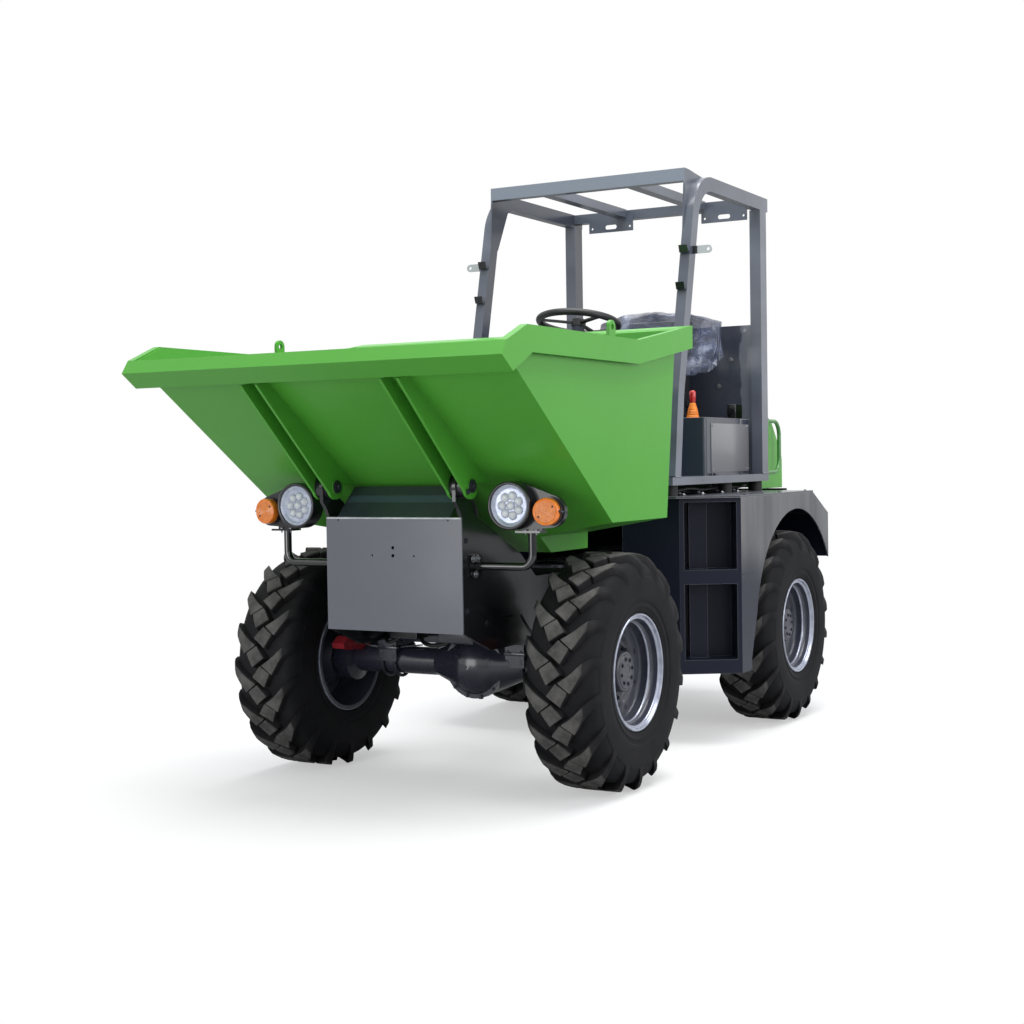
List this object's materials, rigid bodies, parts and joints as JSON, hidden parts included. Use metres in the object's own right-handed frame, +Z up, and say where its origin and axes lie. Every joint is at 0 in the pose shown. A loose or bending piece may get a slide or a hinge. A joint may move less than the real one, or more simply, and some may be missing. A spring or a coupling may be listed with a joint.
{
  "type": "site dumper",
  "caption": "Wheeled site dumper with a forward-tipping skip, articulated frame and an open roll-over frame over the driver's seat.",
  "frame": {"origin": "on the ground under the middle of the machine's bounding box", "axes": "+X forward along the machine, +Y to its left, +Z up"},
  "size_m": [3.9884, 1.7364, 2.752],
  "materials": {
    "skip_green": "gloss",
    "chassis_black": "satin",
    "cab_grey": "satin",
    "axle_grey": "satin",
    "rim_grey": "satin",
    "tyre": "matte",
    "lamp_clear": "clear",
    "lamp_orange": "gloss",
    "black_plastic": "gloss",
    "seat_black": "satin",
    "rod_chrome": "polished",
    "rubber": "matte"
  },
  "bodies": {
    "rear_body": {"rear_frame": "chassis_black", "rear_axle": "axle_grey", "side_body_left": "chassis_black", "side_body_right": "chassis_black", "deck_plate": "chassis_black", "cab_mounts": "rubber", "cab_base": "cab_grey", "rops_front_posts": "cab_grey", "rops_rear_posts": "cab_grey", "rops_cross_members": "cab_grey", "post_brackets": "chassis_black", "rear_panel": "chassis_black", "seat_box": "chassis_black", "seat_cushion": "seat_black", "seat_back": "seat_black", "drive_lever": "black_plastic", "dash_console": "chassis_black", "rear_bumper": "chassis_black", "engine_block": "axle_grey"},
    "front_body": {"front_frame": "chassis_black", "front_axle": "axle_grey", "nose_cover": "chassis_black", "lamp_arms": "chassis_black", "lamp_housings": "chassis_black", "headlamp_lenses": "lamp_clear", "indicator_lenses": "lamp_orange"},
    "wheel_front_left": {"tyre_front_left": "tyre", "rim_front_left": "rim_grey"},
    "wheel_front_right": {"tyre_front_right": "tyre", "rim_front_right": "rim_grey"},
    "wheel_rear_left": {"tyre_rear_left": "tyre", "rim_rear_left": "rim_grey"},
    "wheel_rear_right": {"tyre_rear_right": "tyre", "rim_rear_right": "rim_grey"},
    "skip": {"skip_tub": "skip_green", "skip_rim": "skip_green", "skip_ribs": "skip_green", "lifting_eyes": "skip_green"},
    "tip_barrel": {"tip_barrel": "chassis_black"},
    "tip_rod": {"tip_rod": "rod_chrome"},
    "steer_barrel": {"steer_barrel": "chassis_black"},
    "steer_rod": {"steer_rod": "rod_chrome"},
    "steering_wheel": {"steering_wheel": "black_plastic"},
    "bonnet": {"bonnet": "skip_green", "bonnet_handles": "skip_green"}
  },
  "joints": [
    {"name": "steer_articulation", "type": "hinge", "parent": "rear_body", "child": "front_body", "pos_m": [-0.044, 0, 0.72], "axis": [0, 0, 1], "range_deg": [-33, 33]},
    {"name": "wheel_front_left_spin", "type": "hinge", "parent": "front_body", "child": "wheel_front_left", "pos_m": [0.886, 0.71, 0.4875], "axis": [0, 1, 0], "continuous": true},
    {"name": "wheel_front_right_spin", "type": "hinge", "parent": "front_body", "child": "wheel_front_right", "pos_m": [0.886, -0.71, 0.4875], "axis": [0, 1, 0], "continuous": true},
    {"name": "wheel_rear_left_spin", "type": "hinge", "parent": "rear_body", "child": "wheel_rear_left", "pos_m": [-1.081, 0.71, 0.4875], "axis": [0, 1, 0], "continuous": true},
    {"name": "wheel_rear_right_spin", "type": "hinge", "parent": "rear_body", "child": "wheel_rear_right", "pos_m": [-1.081, -0.71, 0.4875], "axis": [0, 1, 0], "continuous": true},
    {"name": "skip_tip", "type": "hinge", "parent": "front_body", "child": "skip", "pos_m": [1.376, 0, 1.257], "axis": [0, 1, 0], "range_deg": [0, 80]},
    {"name": "tip_barrel_swing", "type": "hinge", "parent": "front_body", "child": "tip_barrel", "pos_m": [1.286, 0, 0.7], "axis": [0, 1, 0], "range_deg": [0, 59.63]},
    {"name": "tip_rod_slide", "type": "slide", "parent": "tip_barrel", "child": "tip_rod", "axis": [-0.9771, 0, 0.213], "range_m": [0, 0.62]},
    {"name": "steer_barrel_swing", "type": "hinge", "parent": "rear_body", "child": "steer_barrel", "pos_m": [-0.394, -0.215, 0.72], "axis": [0, 0, 1], "range_deg": [-10.85, 10.85]},
    {"name": "steer_rod_slide", "type": "slide", "parent": "steer_barrel", "child": "steer_rod", "axis": [1, 0, 0], "range_m": [-0.1225, 0.1225]},
    {"name": "steering_wheel_turn", "type": "hinge", "parent": "rear_body", "child": "steering_wheel", "pos_m": [-0.314, 0, 2.03], "axis": [-0.2079, 0, 0.9781], "continuous": true},
    {"name": "bonnet_lift", "type": "hinge", "parent": "rear_body", "child": "bonnet", "pos_m": [-1.914, 0, 1.187], "axis": [0, -1, 0], "range_deg": [0, 70]}
  ],
  "couplings": [
    {"joint": "tip_barrel_swing", "follows": "skip_tip", "ratio": 0.74407},
    {"joint": "tip_rod_slide", "follows": "skip_tip", "m_per_rad": 0.44334},
    {"joint": "steer_barrel_swing", "follows": "steer_articulation", "ratio": 0.32562},
    {"joint": "steer_rod_slide", "follows": "steer_articulation", "m_per_rad": 0.21103}
  ]
}
